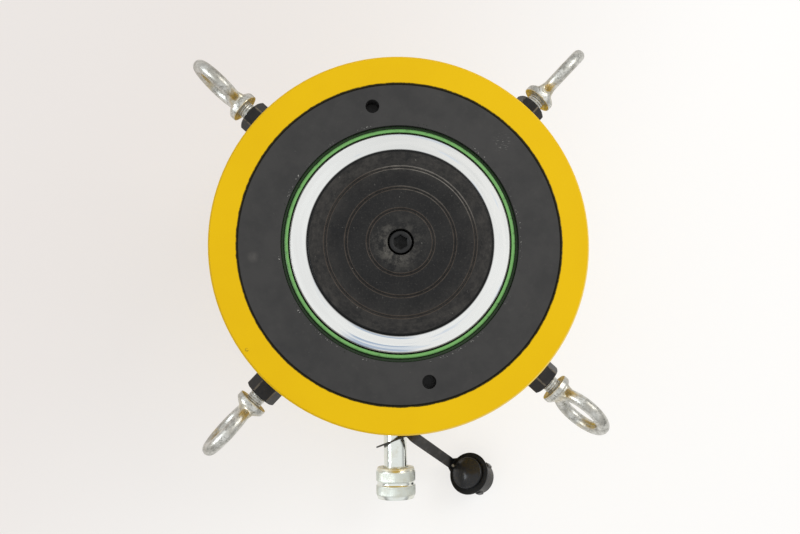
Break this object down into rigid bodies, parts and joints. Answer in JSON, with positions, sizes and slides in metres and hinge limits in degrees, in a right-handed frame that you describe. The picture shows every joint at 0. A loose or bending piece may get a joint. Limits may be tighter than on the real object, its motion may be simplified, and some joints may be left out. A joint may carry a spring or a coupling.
{
  "type": "single-acting hydraulic cylinder",
  "caption": "Flat, wide single-acting lifting cylinder in yellow with a black saddle, lifting eye bolts and a knurled oil coupler with a tethered dust cap",
  "frame": {"origin": "centre of the underside of the base", "axes": "+Z is the lifting direction, -Y points to the oil coupler, +X is to the right as seen from the coupler"},
  "size_m": [0.3353, 0.3932, 0.2139],
  "materials": {
    "body_paint": "semi-gloss yellow paint",
    "black_oxide": "black oxide, turned",
    "green_seal": "green polyurethane, smooth",
    "guide_resin": "filled resin, turned",
    "bright_steel": "hard chromed, fine ground",
    "saddle_steel": "black oxide, hardened",
    "screw_steel": "black oxide",
    "soft_washer": "plain steel with a bonded rim",
    "zinc": "bright zinc plate",
    "soft_rubber": "smooth nitrile",
    "spring_steel": "bright drawn wire",
    "cap_plastic": "glossy black",
    "strap_rubber": "satin black moulding",
    "galvanised": "rough hot-dip galvanised casting",
    "nut_steel": "black oxide"
  },
  "bodies": {
    "housing": {"cylinder_body": "body_paint", "stop_ring": "black_oxide", "ring_set_screw": "black_oxide", "wiper_seal": "green_seal", "rod_guide_band": "guide_resin", "port_washer": "soft_washer", "coupler_body": "zinc", "coupler_nose": "zinc", "coupler_seal_ring": "soft_rubber", "spring_retainer": "zinc", "coupler_spring": "spring_steel", "collar_snap_ring": "spring_steel", "eye_bolt_front_right": "galvanised", "eye_bolt_nut_front_right": "nut_steel", "eye_bolt_back_right": "galvanised", "eye_bolt_nut_back_right": "nut_steel", "eye_bolt_back_left": "galvanised", "eye_bolt_nut_back_left": "nut_steel", "eye_bolt_front_left": "galvanised", "eye_bolt_nut_front_left": "nut_steel"},
    "plunger": {"plunger": "bright_steel", "piston_seal": "green_seal", "piston_backup_ring": "guide_resin", "piston_guide_band": "guide_resin", "saddle": "saddle_steel", "saddle_screw": "screw_steel"},
    "coupler_collar": {"coupler_collar": "zinc"},
    "coupler_poppet": {"coupler_poppet": "zinc"},
    "cap_strap": {"cap_strap": "strap_rubber"},
    "dust_cap": {"dust_cap": "cap_plastic"}
  },
  "joints": [
    {"name": "plunger_lift", "type": "slide", "parent": "housing", "child": "plunger", "axis": [0, 0, 1], "range_m": [0, 0.05]},
    {"name": "collar_spin", "type": "hinge", "parent": "housing", "child": "coupler_collar", "pos_m": [0, -0.2, 0.053], "axis": [0, -1, 0], "continuous": true},
    {"name": "poppet_press", "type": "slide", "parent": "housing", "child": "coupler_poppet", "axis": [0, 1, 0], "range_m": [0, 0.0035], "stiffness_N_per_m": 1200, "deforming": ["coupler_spring"]},
    {"name": "strap_swing", "type": "hinge", "parent": "housing", "child": "cap_strap", "pos_m": [0, -0.1694, 0.053], "axis": [0, -1, 0], "continuous": true},
    {"name": "cap_swivel", "type": "hinge", "parent": "cap_strap", "child": "dust_cap", "pos_m": [0.0728, -0.2056, 0.02835], "axis": [-0.5536, 0.2993, 0.7771], "continuous": true}
  ]
}
